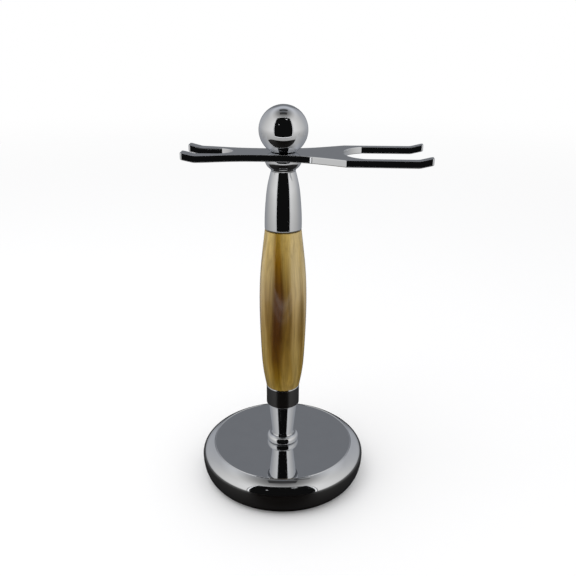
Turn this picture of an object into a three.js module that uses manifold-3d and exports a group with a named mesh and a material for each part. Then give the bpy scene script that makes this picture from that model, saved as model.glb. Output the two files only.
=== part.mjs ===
// Wet-shaving stand: a weighted round base, a turned stem with a faux-horn handle, and a flat fork that
// holds a safety razor on one side and a shaving brush on the other, clamped under a ball finial.
// Units are millimetres, +Z is up, and the origin is the centre of the foot pad's underside.

import * as THREE from 'three';
import { mergeVertices } from 'three/addons/utils/BufferGeometryUtils.js';
import Module from 'manifold-3d';

const wasm = await Module();
wasm.setup();

// ---------------------------------------------------------------- driving dimensions

const seatGap = 0.1; // between pieces stacked face to face
const boreGap = 0.3; // radial room around the tie rod and the handle tube

// base
const baseRadius = 37.6;
const baseTop = 16.0;
const baseFootZ = 0.4;
const baseFootRadius = 33.2;
const baseWidestZ = 10.4;
const rimCurveRadius = 17.2; // horizontal half-axis of the rim's upper curve
const discRadius = 31.8; // flat polished top
const grooveWidth = 0.4; // fine line round the flat top
const grooveDepth = 0.25;
const cavityRadius = 30.4;
const cavityTop = 13.0;
const padThickness = 2.0;
const weightHoleRadius = 9.0;

// clamping stack, bottom to top
const rodRadius = 2.4;
const rodBottom = 4.5;
const rodTop = 160.2;
const nutAcrossFlats = 8.0;
const nutHeight = 4.0;
const lockWasherRadius = 4.2;
const flatWasherRadius = 5.5;
const washerThickness = 0.9;

const beadTop = 19.6;
const beadSeatRadius = 5.6;
const beadBulge = 1.6;
const footTop = 35.8;
const footTopRadius = 6.5;
const footWaistRadius = 4.9;
const footFlareHeight = 1.0;
const footEdge = 0.3; // broken edges of the stem foot
const lowerFerruleTop = 45.3;
const lowerFerruleRadius = 7.45;
const ferruleEdge = 0.5;
const handleTubeRadius = 3.4;
const handleTubeBottom = 38.0;
const handleTubeTop = 126.0;
const seatWasherRadius = 6.2;
const seatPocketDepth = 0.9;
const handleTop = 118.9;
const upperFerruleTop = 143.8;
const collarTop = 148.6;
const collarRimRadius = 7.6;
const collarNeckRadius = 5.1;
const collarEdge = 0.2;
const forkWasherRadius = 5.2;
const forkWasherThickness = 0.8;

// [radius, height] stations that the turned profiles pass through, between their two ends
const handleProfile = [[8.75, 52.5], [9.72, 64.8], [10.28, 83.5], [9.55, 103.1], [8.4, 113.6]];
const handleBottomRadius = 7.5;
const handleTopRadius = 7.8;
const upperFerruleProfile = [[7.78, 124.3], [7.35, 131.2], [6.5, 138.0]];
const upperFerruleBottomRadius = 7.82;
const collarProfile = [[5.3, 144.5], [6.1, 145.2], [7.0, 146.3], [7.5, 147.5]];

// fork
const forkThickness = 2.8;
const waistHalfWidth = 8.0;
const razorTipX = -40.1;
const razorSlotEndX = -20.6;
const razorFlankX = -25.8; // where the slot's curved end meets the prongs
const razorSlotHalfWidth = 6.1;
const razorMouthHalfWidth = 6.4; // the slot widens a little at its open end
const razorOuterHalfWidth = 12.6;
const brushTipX = 58.3;
const brushSlotEndX = 24.4;
const brushFlankX = 32.3;
const brushSlotHalfWidth = 13.9;
const brushOuterHalfWidth = 17.9;
const brushShoulder = [25.0, 17.4]; // corner between the waist's flare and the prong
const flankSlope = 0.45; // of the slot's curved ends against the prongs they meet
const tipCornerRadius = 1.0;
const tipLength = 5.3; // length of prong that is bent up
const tipRise = 1.25;
const bendHalfLength = 0.8; // half the length of the bend itself

// finial
const ballRadius = 10.0;
const ballSeatRadius = 5.0;
const insertRadius = 3.5;
const insertLength = 9.0;
const insertRecess = 0.3; // the insert stays this far inside the ball
const insertEndWall = 0.6;

// flats round each turned piece, and steps along curves
const baseSides = 56;
const weightSides = 40;
const stemSides = 36;
const innerSides = 20;
const nutBoreSides = 12;
const rimUpperSteps = 6;
const rimLowerSteps = 5;
const beadSteps = 6;
const handleSteps = 12;
const ferruleSteps = 8;
const collarSteps = 8;
const ballSteps = 12;
const forkEdgeSteps = 30;
const brushSlotSteps = 8;
const razorSlotSteps = 6;
const tipSteps = 3;

// ---------------------------------------------------------------- derived heights

const rodBoreRadius = rodRadius + boreGap;
const forkBottom = collarTop + seatGap;
const forkTop = forkBottom + forkThickness;
const ballSeat = forkTop + seatGap;
const ballCentre = ballSeat + Math.sqrt(ballRadius ** 2 - ballSeatRadius ** 2);

// ---------------------------------------------------------------- materials

const chrome = { color: 0xc9cbce, roughness: 0.06, metalness: 1.0 };
const steel = { color: 0x9a9c9e, roughness: 0.35, metalness: 1.0 };
const brass = { color: 0xb8923f, roughness: 0.3, metalness: 1.0 };
const horn = { color: 0xb08a3c, roughness: 0.12, metalness: 0.0 };
const rubber = { color: 0x151515, roughness: 0.85, metalness: 0.0 };
const nylon = { color: 0xd8d5cc, roughness: 0.5, metalness: 0.0 };
const iron = { color: 0x3c3c3d, roughness: 0.7, metalness: 0.8 };

const stand = new THREE.Group();
stand.name = 'razor_stand';

function addPiece(name, geometry, look) {
  const mesh = new THREE.Mesh(geometry, new THREE.MeshStandardMaterial(look));
  mesh.name = name;
  stand.add(mesh);
}

// ---------------------------------------------------------------- shape helpers

// Solid of revolution about Z. The outline is a list of [radius, height] points that runs up the
// outside and down the inside, and closes on itself unless it starts and ends on the axis.
function turned(outline, sides) {
  const points = outline.map(([radius, height]) => new THREE.Vector2(radius, height));
  const open = points[0].x === 0 && points[points.length - 1].x === 0;
  if (!open) {
    points.push(points[0].clone());
  }
  const geometry = new THREE.LatheGeometry(points, sides);
  geometry.rotateX(Math.PI / 2);
  return geometry;
}

// Points of an elliptical arc in the [radius, height] plane, angles in degrees from the radius axis.
function arc(centreR, centreZ, semiR, semiZ, fromDegrees, toDegrees, steps) {
  const points = [];
  for (let i = 0; i <= steps; i += 1) {
    const angle = THREE.MathUtils.degToRad(fromDegrees + ((toDegrees - fromDegrees) * i) / steps);
    points.push([centreR + semiR * Math.cos(angle), centreZ + semiZ * Math.sin(angle)]);
  }
  return points;
}

// Points of a smooth curve through a few [radius, height] stations.
function smooth(stations, steps) {
  const curve = new THREE.SplineCurve(stations.map(([radius, height]) => new THREE.Vector2(radius, height)));
  return curve.getPoints(steps).map((point) => [point.x, point.y]);
}

// A plain ring or tube.
function ring(innerRadius, outerRadius, bottom, top, sides) {
  return turned([
    [innerRadius, bottom],
    [outerRadius, bottom],
    [outerRadius, top],
    [innerRadius, top],
  ], sides);
}

function toSolid(geometry) {
  const bare = geometry.clone();
  bare.deleteAttribute('normal');
  bare.deleteAttribute('uv');
  const merged = mergeVertices(bare, 1e-5);
  return new wasm.Manifold(new wasm.Mesh({
    numProp: 3,
    vertProperties: new Float32Array(merged.attributes.position.array),
    triVerts: new Uint32Array(merged.index.array),
  }));
}

function toGeometry(solid) {
  const mesh = solid.getMesh();
  const geometry = new THREE.BufferGeometry();
  geometry.setAttribute('position', new THREE.BufferAttribute(mesh.vertProperties, 3));
  geometry.setIndex(new THREE.BufferAttribute(mesh.triVerts, 1));
  geometry.computeVertexNormals();
  return geometry;
}

// ---------------------------------------------------------------- base

// Heavy casting: flat mirror top with a fine groove round it, a rim that falls away at a slight
// crease, swells to the widest point and curves under to the foot, and a round pocket underneath.
function baseShell() {
  const grooveOuter = discRadius + grooveWidth;
  const rimCentre = baseRadius - rimCurveRadius;
  const creaseAngle = Math.acos((grooveOuter - rimCentre) / rimCurveRadius);
  const rimSemiZ = (baseTop - baseWidestZ) / Math.sin(creaseAngle);
  const rimUpper = arc(
    rimCentre, baseWidestZ, rimCurveRadius, rimSemiZ, 0, THREE.MathUtils.radToDeg(creaseAngle),
    rimUpperSteps);
  const rimLower = arc(
    baseFootRadius, baseWidestZ, baseRadius - baseFootRadius, baseWidestZ - baseFootZ, -90, 0,
    rimLowerSteps);
  return turned([
    [cavityRadius, baseFootZ],
    ...rimLower,
    ...rimUpper.slice(1),
    [discRadius + grooveWidth / 2, baseTop - grooveDepth],
    [discRadius, baseTop],
    [rodBoreRadius, baseTop],
    [rodBoreRadius, cavityTop],
    [cavityRadius, cavityTop],
  ], baseSides);
}

function nut() {
  const cornerRadius = nutAcrossFlats / 2 / Math.cos(Math.PI / 6);
  const corners = [];
  for (let corner = 0; corner < 6; corner += 1) {
    const angle = (corner * Math.PI) / 3;
    corners.push(new THREE.Vector2(cornerRadius * Math.cos(angle), cornerRadius * Math.sin(angle)));
  }
  const outline = new THREE.Shape(corners);
  const hole = new THREE.Path();
  hole.absarc(0, 0, rodBoreRadius, 0, 2 * Math.PI, true);
  outline.holes.push(hole);
  return new THREE.ExtrudeGeometry(outline, {
    depth: nutHeight, bevelEnabled: false, curveSegments: nutBoreSides,
  });
}

const pocketFill = cavityRadius - boreGap;
addPiece('foot_pad', turned([
  [0, 0],
  [pocketFill, 0],
  [pocketFill, padThickness],
  [0, padThickness],
], baseSides), rubber);
addPiece('base_shell', baseShell(), chrome);
addPiece('base_weight', ring(weightHoleRadius, pocketFill, padThickness + seatGap, cavityTop - seatGap,
  weightSides), iron);

const flatWasherTop = cavityTop - seatGap;
const flatWasherBottom = flatWasherTop - washerThickness;
const lockWasherTop = flatWasherBottom - seatGap;
const lockWasherBottom = lockWasherTop - washerThickness;
const nutTop = lockWasherBottom - seatGap;

addPiece('flat_washer', ring(rodBoreRadius, flatWasherRadius, flatWasherBottom, flatWasherTop,
  innerSides), steel);
addPiece('lock_washer', ring(rodBoreRadius, lockWasherRadius, lockWasherBottom, lockWasherTop,
  innerSides), steel);
const nutGeometry = nut();
nutGeometry.translate(0, 0, nutTop - nutHeight);
addPiece('base_nut', nutGeometry, steel);
addPiece('tie_rod', turned([
  [0, rodBottom],
  [rodRadius, rodBottom],
  [rodRadius, rodTop],
  [0, rodTop],
], innerSides), steel);

// ---------------------------------------------------------------- stem foot and lower ferrule

const beadBottom = baseTop + seatGap;
const beadMiddle = (beadBottom + beadTop) / 2;
addPiece('bead_ring', turned([
  [rodBoreRadius, beadBottom],
  ...arc(beadSeatRadius, beadMiddle, beadBulge, (beadTop - beadBottom) / 2, -90, 90, beadSteps),
  [rodBoreRadius, beadTop],
], stemSides), chrome);

// Tapered foot: a small flare where it sits on the bead, a waist, then a straight taper up to the ferrule.
const footBottom = beadTop + seatGap;
addPiece('stem_foot', turned([
  [rodBoreRadius, footBottom],
  [footWaistRadius + footEdge, footBottom],
  [footWaistRadius, footBottom + footFlareHeight],
  [footTopRadius, footTop - footEdge],
  [footTopRadius - footEdge, footTop],
  [rodBoreRadius, footTop],
], stemSides), chrome);

const tubeBore = handleTubeRadius + boreGap;
const seatPocketRadius = seatWasherRadius + boreGap;

// Straight ferrule with rounded edges, bored for the handle tube, with a shallow pocket for a washer.
const lowerFerruleBottom = footTop + seatGap;
addPiece('lower_ferrule', turned([
  [rodBoreRadius, lowerFerruleBottom],
  [lowerFerruleRadius - ferruleEdge, lowerFerruleBottom],
  [lowerFerruleRadius, lowerFerruleBottom + ferruleEdge],
  [lowerFerruleRadius, lowerFerruleTop - ferruleEdge],
  [lowerFerruleRadius - ferruleEdge, lowerFerruleTop],
  [seatPocketRadius, lowerFerruleTop],
  [seatPocketRadius, lowerFerruleTop - seatPocketDepth],
  [tubeBore, lowerFerruleTop - seatPocketDepth],
  [tubeBore, handleTubeBottom - boreGap],
  [rodBoreRadius, handleTubeBottom - boreGap],
], stemSides), chrome);
addPiece('lower_seat_washer', ring(tubeBore, seatWasherRadius, lowerFerruleTop - seatPocketDepth + seatGap,
  lowerFerruleTop, innerSides), nylon);

// ---------------------------------------------------------------- handle and upper ferrule

const handleBottom = lowerFerruleTop + seatGap;
addPiece('handle', turned([
  [tubeBore, handleBottom],
  ...smooth([
    [handleBottomRadius, handleBottom],
    ...handleProfile,
    [handleTopRadius, handleTop],
  ], handleSteps),
  [tubeBore, handleTop],
], stemSides), horn);
addPiece('handle_tube', ring(rodBoreRadius, handleTubeRadius, handleTubeBottom, handleTubeTop,
  innerSides), brass);

const upperFerruleBottom = handleTop + seatGap;
const upperPocketTop = upperFerruleBottom + seatPocketDepth;
addPiece('upper_ferrule', turned([
  [seatPocketRadius, upperFerruleBottom],
  ...smooth([
    [upperFerruleBottomRadius, upperFerruleBottom],
    ...upperFerruleProfile,
    [collarNeckRadius, upperFerruleTop],
  ], ferruleSteps),
  [rodBoreRadius, upperFerruleTop],
  [rodBoreRadius, handleTubeTop + boreGap],
  [tubeBore, handleTubeTop + boreGap],
  [tubeBore, upperPocketTop],
  [seatPocketRadius, upperPocketTop],
], stemSides), chrome);
addPiece('upper_seat_washer', ring(tubeBore, seatWasherRadius, upperFerruleBottom, upperPocketTop - seatGap,
  innerSides), nylon);

// ---------------------------------------------------------------- collar

// Shallow bowl that carries the fork, with a low-friction washer let into its top face.
const collarBottom = upperFerruleTop + seatGap;
const forkPocketRadius = forkWasherRadius + boreGap;
const forkPocketBottom = collarTop - forkWasherThickness;
addPiece('fork_collar', turned([
  [rodBoreRadius, collarBottom],
  ...smooth([
    [collarNeckRadius, collarBottom],
    ...collarProfile,
    [collarRimRadius, collarTop - collarEdge],
  ], collarSteps),
  [collarRimRadius - collarEdge, collarTop],
  [forkPocketRadius, collarTop],
  [forkPocketRadius, forkPocketBottom],
  [rodBoreRadius, forkPocketBottom],
], stemSides), chrome);
addPiece('fork_washer', ring(rodBoreRadius, forkWasherRadius, forkPocketBottom + seatGap, collarTop,
  innerSides), nylon);

// ---------------------------------------------------------------- fork

// Plan outline of the fork, mirrored about the X axis.
function forkPlan() {
  const outerEdge = [
    ...new THREE.SplineCurve([
      new THREE.Vector2(razorTipX + tipCornerRadius, razorOuterHalfWidth),
      new THREE.Vector2(-31.5, 11.6),
      new THREE.Vector2(-24.0, 9.7),
      new THREE.Vector2(-16.0, waistHalfWidth + 0.3),
      new THREE.Vector2(-6.0, waistHalfWidth),
      new THREE.Vector2(3.0, waistHalfWidth + 0.7),
      new THREE.Vector2(10.5, 10.3),
      new THREE.Vector2(17.0, 13.2),
      new THREE.Vector2(...brushShoulder),
    ]).getPoints(forkEdgeSteps),
    ...roundEnd(brushTipX, brushOuterHalfWidth, brushSlotHalfWidth, 1),
  ];
  const brushSlot = slotEnd(brushSlotEndX, brushFlankX, brushSlotHalfWidth, brushSlotSteps);
  const razorSlot = slotEnd(razorSlotEndX, razorFlankX, razorSlotHalfWidth, razorSlotSteps).reverse();
  const razorTip = roundEnd(razorTipX, razorOuterHalfWidth, razorMouthHalfWidth, -1).reverse();
  const upperHalf = [...razorSlot, ...razorTip, ...outerEdge.slice(1), ...brushSlot];
  const lowerHalf = upperHalf.slice(1, -1).map((point) => new THREE.Vector2(point.x, -point.y)).reverse();
  return new THREE.Shape([...upperHalf, ...lowerHalf]);
}

// Rounded end of one prong, from its outer corner to its inner corner.
function roundEnd(tipX, outerHalf, innerHalf, side) {
  const points = [];
  const cornerX = tipX - side * tipCornerRadius;
  for (let step = 0; step <= tipSteps; step += 1) {
    const angle = (step * Math.PI) / (2 * tipSteps);
    points.push(new THREE.Vector2(
      cornerX + side * tipCornerRadius * Math.sin(angle),
      outerHalf - tipCornerRadius + tipCornerRadius * Math.cos(angle)));
  }
  for (let step = tipSteps; step >= 0; step -= 1) {
    const angle = (step * Math.PI) / (2 * tipSteps);
    points.push(new THREE.Vector2(
      cornerX + side * tipCornerRadius * Math.sin(angle),
      innerHalf + tipCornerRadius - tipCornerRadius * Math.cos(angle)));
  }
  return points;
}

// Half of a slot's curved end, from the prong's inner edge to the slot's closed end.
function slotEnd(endX, flankX, halfWidth, steps) {
  const curve = new THREE.QuadraticBezierCurve(
    new THREE.Vector2(flankX, halfWidth),
    new THREE.Vector2(endX, halfWidth - flankSlope * Math.abs(flankX - endX)),
    new THREE.Vector2(endX, 0));
  return curve.getPoints(steps);
}

// How far the side view and the plan are drawn past the plate, where each trims the other.
const trimMargin = 4;

// Side view of the plate: flat, with both ends bent up.
function forkSide() {
  const slope = tipRise / tipLength;
  const bend = (tipX, side) => {
    const bendX = tipX - side * tipLength;
    return [
      [bendX - side * bendHalfLength, 0],
      [bendX + side * bendHalfLength, slope * bendHalfLength],
      [tipX + side * trimMargin, slope * (tipLength + trimMargin)],
    ];
  };
  const lower = [...bend(razorTipX, -1).reverse(), ...bend(brushTipX, 1)];
  const upper = lower.map(([x, rise]) => [x, rise + forkThickness]).reverse();
  return new THREE.Shape([...lower, ...upper].map(([x, rise]) => new THREE.Vector2(x, forkBottom + rise)));
}

function fork() {
  const planHeight = forkThickness + tipRise + 2 * trimMargin;
  const plan = new THREE.ExtrudeGeometry(forkPlan(), { depth: planHeight, bevelEnabled: false });
  plan.translate(0, 0, forkBottom - trimMargin);
  const sideWidth = 2 * (brushOuterHalfWidth + trimMargin);
  const side = new THREE.ExtrudeGeometry(forkSide(), { depth: sideWidth, bevelEnabled: false });
  side.rotateX(Math.PI / 2);
  side.translate(0, sideWidth / 2, 0);
  const bore = turned([
    [0, forkBottom - trimMargin],
    [rodBoreRadius, forkBottom - trimMargin],
    [rodBoreRadius, forkTop + trimMargin],
    [0, forkTop + trimMargin],
  ], innerSides);
  return toGeometry(toSolid(plan).intersect(toSolid(side)).subtract(toSolid(bore)));
}

addPiece('fork', fork(), chrome);

// ---------------------------------------------------------------- finial

// Ball with a small flat seat and a blind bore for the brass insert.
const insertBore = insertRadius + boreGap;
const insertBottom = ballSeat + insertRecess;
const insertTop = insertBottom + insertLength;
const seatAngle = THREE.MathUtils.radToDeg(Math.asin((ballCentre - ballSeat) / ballRadius));
const ballOutline = arc(0, ballCentre, ballRadius, ballRadius, -seatAngle, 90, ballSteps);
ballOutline[0] = [ballSeatRadius, ballSeat];
ballOutline[ballSteps] = [0, ballCentre + ballRadius];
addPiece('ball_finial', turned([
  [0, insertTop + boreGap],
  [insertBore, insertTop + boreGap],
  [insertBore, ballSeat],
  ...ballOutline,
], stemSides), chrome);
addPiece('finial_insert', turned([
  [rodBoreRadius, insertBottom],
  [insertRadius, insertBottom],
  [insertRadius, insertTop],
  [0, insertTop],
  [0, insertTop - insertEndWall],
  [rodBoreRadius, insertTop - insertEndWall],
], innerSides), brass);

export default stand;
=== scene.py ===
import math

import bmesh
import bpy
import numpy as np
from mathutils import Matrix, Vector


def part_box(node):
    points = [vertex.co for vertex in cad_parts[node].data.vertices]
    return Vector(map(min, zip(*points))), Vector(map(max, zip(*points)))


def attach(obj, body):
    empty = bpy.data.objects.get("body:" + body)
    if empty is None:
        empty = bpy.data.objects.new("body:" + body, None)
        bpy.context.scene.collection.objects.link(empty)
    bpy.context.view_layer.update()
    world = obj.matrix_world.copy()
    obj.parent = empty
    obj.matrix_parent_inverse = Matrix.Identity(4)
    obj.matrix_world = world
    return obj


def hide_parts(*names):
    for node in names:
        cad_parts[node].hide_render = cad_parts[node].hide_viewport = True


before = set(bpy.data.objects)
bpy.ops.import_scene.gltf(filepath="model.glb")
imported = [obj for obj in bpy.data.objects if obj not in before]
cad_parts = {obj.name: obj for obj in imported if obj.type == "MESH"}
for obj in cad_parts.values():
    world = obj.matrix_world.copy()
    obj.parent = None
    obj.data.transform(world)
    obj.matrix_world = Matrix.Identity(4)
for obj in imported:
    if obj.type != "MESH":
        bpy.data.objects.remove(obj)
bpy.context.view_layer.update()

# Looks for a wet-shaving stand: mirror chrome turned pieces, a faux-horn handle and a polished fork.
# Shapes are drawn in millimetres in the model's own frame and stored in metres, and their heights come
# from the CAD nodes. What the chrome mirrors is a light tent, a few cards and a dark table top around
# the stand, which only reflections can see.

MM = 0.001

# ---------------------------------------------------------------- camera

ROOM_TURN = 2.6          # degrees the stand is turned clockwise, seen from above, in the room
CAMERA_PLACE = (0.00215, -0.2810, 0.2001)
CAMERA_PITCH = 20.99     # degrees below level
CAMERA_ROLL = 0.29       # degrees
CAMERA_LENS = 43.125
CAMERA_CLIP = (0.01, 20)

room = Matrix.Rotation(math.radians(ROOM_TURN), 4, "Z")


def add_camera():
    data = bpy.data.cameras.new("camera")
    data.lens = CAMERA_LENS
    data.clip_start, data.clip_end = CAMERA_CLIP
    camera = bpy.data.objects.new("camera", data)
    bpy.context.scene.collection.objects.link(camera)
    tilt = Matrix.Rotation(math.radians(90 - CAMERA_PITCH), 4, "X")
    roll = Matrix.Rotation(math.radians(CAMERA_ROLL), 4, "Z")
    camera.matrix_world = room @ Matrix.Translation(CAMERA_PLACE) @ tilt @ roll
    bpy.context.scene.camera = camera


add_camera()

# ---------------------------------------------------------------- outlines, as (radius, height) in mm

HOLD = 0.2               # past a rounding, as a share of it: keeps the faces beside it shaded flat


def span(node):
    """Bottom and top of a CAD node, in mm."""
    low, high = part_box(node)
    return low.z / MM, high.z / MM


def arc(centre, semi, start, end, steps):
    """Points of an elliptical arc, angles in degrees from the radius axis."""
    angles = [math.radians(start + (end - start) * i / steps) for i in range(steps + 1)]
    return [(centre[0] + semi[0] * math.cos(a), centre[1] + semi[1] * math.sin(a)) for a in angles]


def bezier(start, pull, end, steps):
    """Points of a curve from start to end that leaves and arrives in line with the pull point."""
    shares = [step / steps for step in range(steps + 1)]
    return [tuple(start * (1 - t) ** 2 + pull * 2 * t * (1 - t) + end * t ** 2) for t in shares]


def full_circle(radius, sides):
    angles = [2 * math.pi * i / sides for i in range(sides)]
    return [(radius * math.cos(a), radius * math.sin(a)) for a in angles]


def curve_through(stations, steps, along=1):
    """Points of the smoothest curve through a few stations. Along is the axis that they advance on."""
    stations = sorted(stations, key=lambda point: point[along])
    x = np.array([point[along] for point in stations], float)
    y = np.array([point[1 - along] for point in stations], float)
    gaps = np.diff(x)
    slopes = np.diff(y) / gaps
    # natural cubic spline: bend is zero at both ends and continuous in between
    matrix = np.eye(len(x))
    right = np.zeros(len(x))
    for i in range(1, len(x) - 1):
        matrix[i, i - 1:i + 2] = gaps[i - 1], 2 * (gaps[i - 1] + gaps[i]), gaps[i]
        right[i] = 6 * (slopes[i] - slopes[i - 1])
    bend = np.linalg.solve(matrix, right)
    points = []
    for at in np.linspace(x[0], x[-1], steps + 1):
        i = min(int(np.searchsorted(x, at, side="right")) - 1, len(gaps) - 1)
        left, rest = at - x[i], x[i + 1] - at
        value = (bend[i] * rest ** 3 + bend[i + 1] * left ** 3) / (6 * gaps[i])
        value += (y[i] / gaps[i] - bend[i] * gaps[i] / 6) * rest
        value += (y[i + 1] / gaps[i] - bend[i + 1] * gaps[i] / 6) * left
        points.append((value, at) if along == 1 else (at, value))
    return points


def softened(corners, steps=4):
    """Closed outline whose corners are (radius, height) or (radius, height, edge), where edge is how
    far from the corner its rounding starts."""
    points = []
    for i, corner in enumerate(corners):
        if len(corner) == 2:
            points.append(tuple(corner))
            continue
        here, edge = Vector(corner[:2]), corner[2]
        before = (Vector(corners[i - 1][:2]) - here).normalized()
        after = (Vector(corners[(i + 1) % len(corners)][:2]) - here).normalized()
        points.append(tuple(here + before * edge * (1 + HOLD)))
        points += bezier(here + before * edge, here, here + after * edge, steps)
        points.append(tuple(here + after * edge * (1 + HOLD)))
    return points


# ---------------------------------------------------------------- meshes

TURNED_SIDES = 160
TURNED_CREASE = 28       # degrees
ON_AXIS = 1e-6           # a ring with a smaller radius is a single point


def add_object(name, bm, crease=TURNED_CREASE):
    """Object in metres from a bmesh in mm, shaded smooth except at creases sharper than that angle."""
    bmesh.ops.recalc_face_normals(bm, faces=bm.faces)
    mesh = bpy.data.meshes.new(name)
    bm.to_mesh(mesh)
    bm.free()
    mesh.transform(Matrix.Scale(MM, 4))
    mesh.polygons.foreach_set("use_smooth", [True] * len(mesh.polygons))
    mesh.set_sharp_from_angle(angle=math.radians(crease))
    obj = bpy.data.objects.new(name, mesh)
    bpy.context.scene.collection.objects.link(obj)
    return obj


def bridge(bm, lower, upper):
    """Faces between two rings of points, either of which may be a single point."""
    count = max(len(lower), len(upper))
    for i in range(count):
        j = (i + 1) % count
        below = [lower[i % len(lower)], lower[j % len(lower)]]
        above = [upper[j % len(upper)], upper[i % len(upper)]]
        bm.faces.new(list(dict.fromkeys(below + above)))


def turned(name, outline, sides=TURNED_SIDES):
    """Solid of revolution about Z from an outline that closes on itself, or starts and ends on the axis."""
    bm = bmesh.new()
    rings = []
    for radius, height in outline:
        if radius < ON_AXIS:
            rings.append([bm.verts.new((0, 0, height))])
            continue
        ring = full_circle(radius, sides)
        rings.append([bm.verts.new((x, y, height)) for x, y in ring])
    for lower, upper in zip(rings, rings[1:]):
        bridge(bm, lower, upper)
    if len(rings[0]) > 1:
        bridge(bm, rings[-1], rings[0])
    return add_object(name, bm)


def fit(obj, body, node, material):
    """The piece stands for that CAD node, moves with that body and has that finish."""
    obj.data.materials.append(material)
    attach(obj, body)
    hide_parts(node)


# ---------------------------------------------------------------- material building

MIX_FIRST, MIX_SECOND, MIX_RESULT = 6, 7, 2    # a Mix node's sockets for colours


def start_material(name):
    """New material with its node tree and its Principled shader."""
    material = bpy.data.materials.new(name)
    material.use_nodes = True
    return material, material.node_tree, material.node_tree.nodes["Principled BSDF"]


def add_node(tree, kind, inputs=None, **settings):
    """Node with its settings, and with its inputs set to values or linked to other nodes' outputs."""
    node = tree.nodes.new(kind)
    for key, value in settings.items():
        setattr(node, key, value)
    for key, value in (inputs or {}).items():
        if isinstance(value, bpy.types.NodeSocket):
            tree.links.new(value, node.inputs[key])
        else:
            node.inputs[key].default_value = value
    return node


def millimetres(tree, stretch=(1, 1, 1)):
    """The model's coordinates in mm, divided by a stretch along each axis."""
    coordinate = add_node(tree, "ShaderNodeTexCoord").outputs["Object"]
    scale = [1 / (MM * s) for s in stretch]
    return add_node(tree, "ShaderNodeMapping", {"Vector": coordinate, "Scale": scale}).outputs["Vector"]


def noise(tree, vector, scale, detail, roughness):
    """Noise from 0 to 1. Scale is in lumps per mm, or per stretched mm."""
    inputs = {"Vector": vector, "Scale": scale, "Detail": detail, "Roughness": roughness}
    return add_node(tree, "ShaderNodeTexNoise", inputs).outputs["Fac"]


def calculate(tree, operation, first, second=0.0):
    inputs = {0: first, 1: second}
    return add_node(tree, "ShaderNodeMath", inputs, operation=operation).outputs[0]


def calculate_vector(tree, operation, first, second):
    inputs = {0: first, 1: second}
    return add_node(tree, "ShaderNodeVectorMath", inputs, operation=operation).outputs[0]


def remap(tree, value, low, high, to_low, to_high, smooth=False):
    """Value from low..high carried over to to_low..to_high, and held at the ends."""
    inputs = {"Value": value, "From Min": low, "From Max": high, "To Min": to_low, "To Max": to_high}
    kind = "SMOOTHSTEP" if smooth else "LINEAR"
    return add_node(tree, "ShaderNodeMapRange", inputs, interpolation_type=kind).outputs["Result"]


def blend_colour(tree, factor, first, second, blend_type="MIX"):
    """Colours are (r, g, b) or another node's output."""
    def whole(colour):
        return colour if isinstance(colour, bpy.types.NodeSocket) else (*colour, 1.0)

    inputs = {"Factor": factor, MIX_FIRST: whole(first), MIX_SECOND: whole(second)}
    node = add_node(tree, "ShaderNodeMix", inputs, data_type="RGBA", blend_type=blend_type)
    return node.outputs[MIX_RESULT]


def scale_colour(tree, colour, factor):
    inputs = {0: colour, "Scale": factor}
    return add_node(tree, "ShaderNodeVectorMath", inputs, operation="SCALE").outputs[0]


def colour_ramp(tree, factor, stops):
    """Colour that passes through (position, (r, g, b)) stops."""
    node = add_node(tree, "ShaderNodeValToRGB", {"Fac": factor})
    elements = node.color_ramp.elements
    while len(elements) < len(stops):
        elements.new(0.5)
    for element, (position, colour) in zip(elements, stops):
        element.position = position
        element.color = (*colour, 1.0)
    return node.outputs["Color"]


def add_bump(tree, surface, height, depth):
    """Relief of that depth in mm."""
    normal = add_node(tree, "ShaderNodeBump", {"Height": height, "Distance": depth * MM}).outputs["Normal"]
    tree.links.new(normal, surface.inputs["Normal"])


def finish_surface(tree, surface, colour, roughness, relief, depth, metallic=0.0):
    """Colour, roughness and relief come from nodes, and metallic is the same all over."""
    tree.links.new(colour, surface.inputs["Base Color"])
    tree.links.new(roughness, surface.inputs["Roughness"])
    surface.inputs["Metallic"].default_value = metallic
    add_bump(tree, surface, relief, depth)


# ---------------------------------------------------------------- materials


def chrome():
    """Mirror-polished plate: hardly visible ripple, and a faint haze of fine polishing marks."""
    material, tree, surface = start_material("chrome_plate")
    place = millimetres(tree)
    haze = noise(tree, place, 0.12, 4.0, 0.6)
    marks = noise(tree, place, 3.0, 3.0, 0.7)
    ripple = noise(tree, place, 0.35, 1.0, 0.4)
    tint = blend_colour(tree, haze, (0.66, 0.67, 0.69), (0.72, 0.73, 0.745))
    rough = remap(tree, haze, 0.35, 0.75, 0.028, 0.055)
    rough = calculate(tree, "ADD", rough, remap(tree, marks, 0.55, 0.8, 0.0, 0.02))
    finish_surface(tree, surface, tint, rough, ripple, 0.004, metallic=1.0)
    return material


HANDLE_BOTTOM, HANDLE_TOP = span("handle")
GRAIN_DRIFT_SIZE = (7, 7, 34)    # mm over which the horn's grain wanders, along each axis
GRAIN_DRIFT = (4.0, 4.0, 0.0)    # how far it wanders, in mm
SHEET_LENGTH = 62.0      # from where a sheet is broadest to where it would end, in mm
SHEET_THIN_END = 0.35    # width of a sheet where it is thinnest, as a share of its broadest
SHEET_EDGE = (0.50, 1.50)        # a sheet fades out between these shares of its half width
SHEET_DEPTH = (1.0, -4.0)        # mm behind the rod's axis where a sheet starts, and where it is full
# facing, centre, half width and widest height of each sheet
DARK_CORES = [(0, -1.8, 2.3, 80), (140, 1.0, 2.4, 66), (238, -0.5, 2.0, 100)]
BROWN_HALOS = [(0, -0.5, 4.9, 80), (140, 0.6, 4.6, 70), (238, -0.2, 4.2, 94)]
PALE_SEAMS = [(0, 5.6, 1.9, 92), (75, 3.0, 2.2, 60), (190, -3.0, 2.4, 84), (300, 2.0, 2.2, 105)]
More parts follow.
